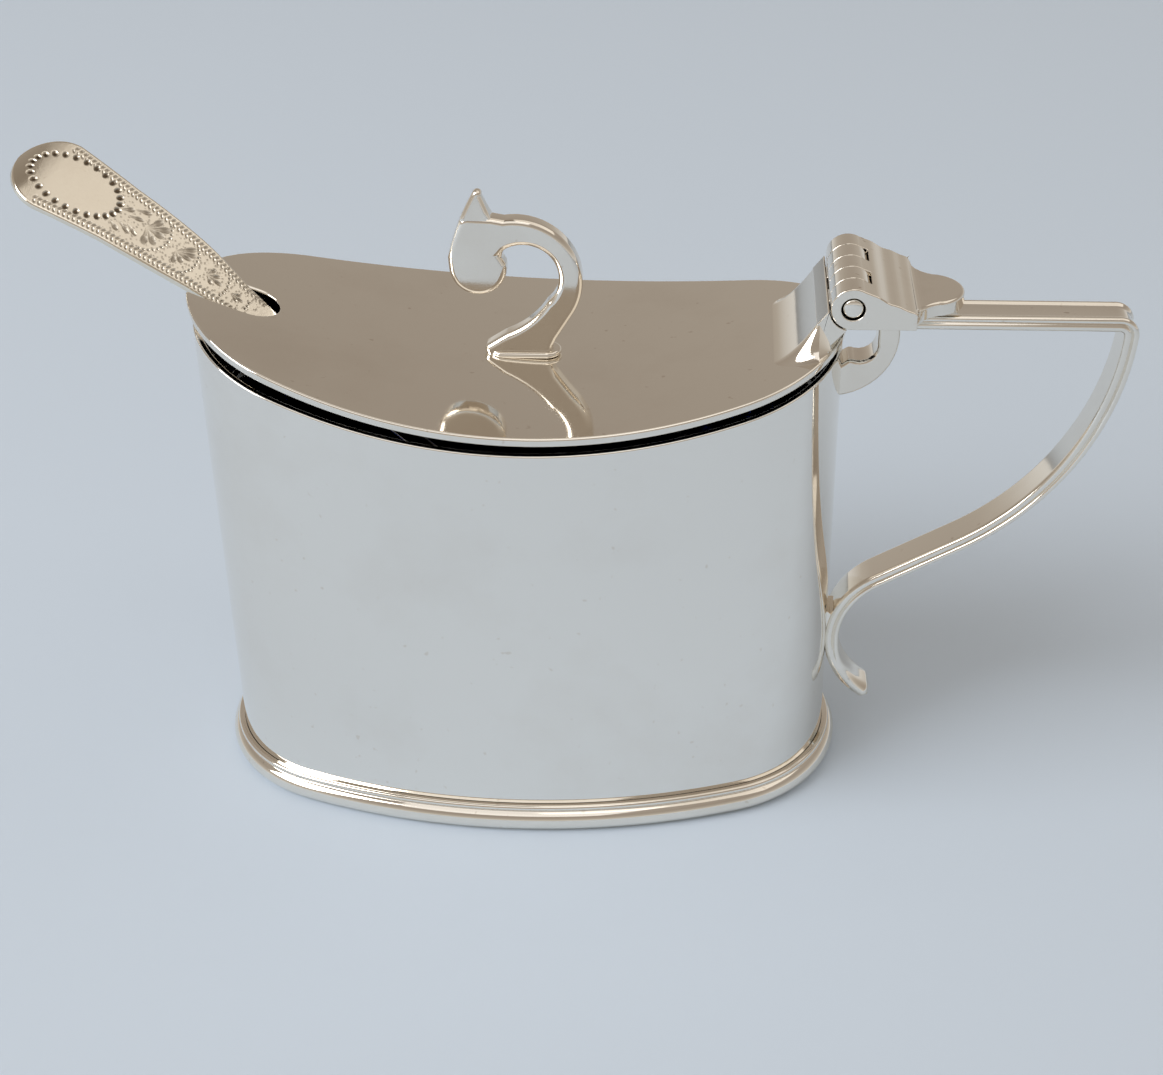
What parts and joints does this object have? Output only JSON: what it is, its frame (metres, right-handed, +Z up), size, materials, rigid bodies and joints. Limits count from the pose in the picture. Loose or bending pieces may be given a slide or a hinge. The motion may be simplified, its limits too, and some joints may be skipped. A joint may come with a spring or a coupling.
{
  "type": "mustard pot",
  "caption": "Oval silver mustard pot with a hinged dished lid, scroll finial, strap handle, blue glass liner and an engraved spoon standing in the lid's notch.",
  "frame": {"origin": "middle of the oval foot, on the table", "axes": "+Z up, +X along the pot towards the handle, -Y towards the side that the picture shows"},
  "size_m": [0.1102, 0.0372, 0.0657],
  "materials": {
    "silver": "polished silver with fine wear scratches",
    "cobalt_glass": "polished cobalt blue glass"
  },
  "bodies": {
    "pot": {"body_wall": "silver", "base_plate": "silver", "foot_ring": "silver", "glass_liner": "cobalt_glass", "handle_hinge_leaf": "silver", "hinge_pin": "silver", "handle_top_strap": "silver", "handle_scroll_strap": "silver", "handle_bracket": "silver"},
    "lid": {"lid_plate": "silver", "lid_hinge_leaf": "silver", "finial_foot": "silver", "finial_scroll": "silver"},
    "spoon": {"spoon": "silver"}
  },
  "joints": [
    {"name": "lid_hinge", "type": "hinge", "parent": "pot", "child": "lid", "pos_m": [0.0324, 0, 0.05476], "axis": [0, 1, 0], "range_deg": [0, 100]},
    {"name": "spoon_slide", "type": "slide", "parent": "lid", "child": "spoon", "axis": [-0.7523, 0.0605, 0.6561], "range_m": [0, 0.03]}
  ]
}
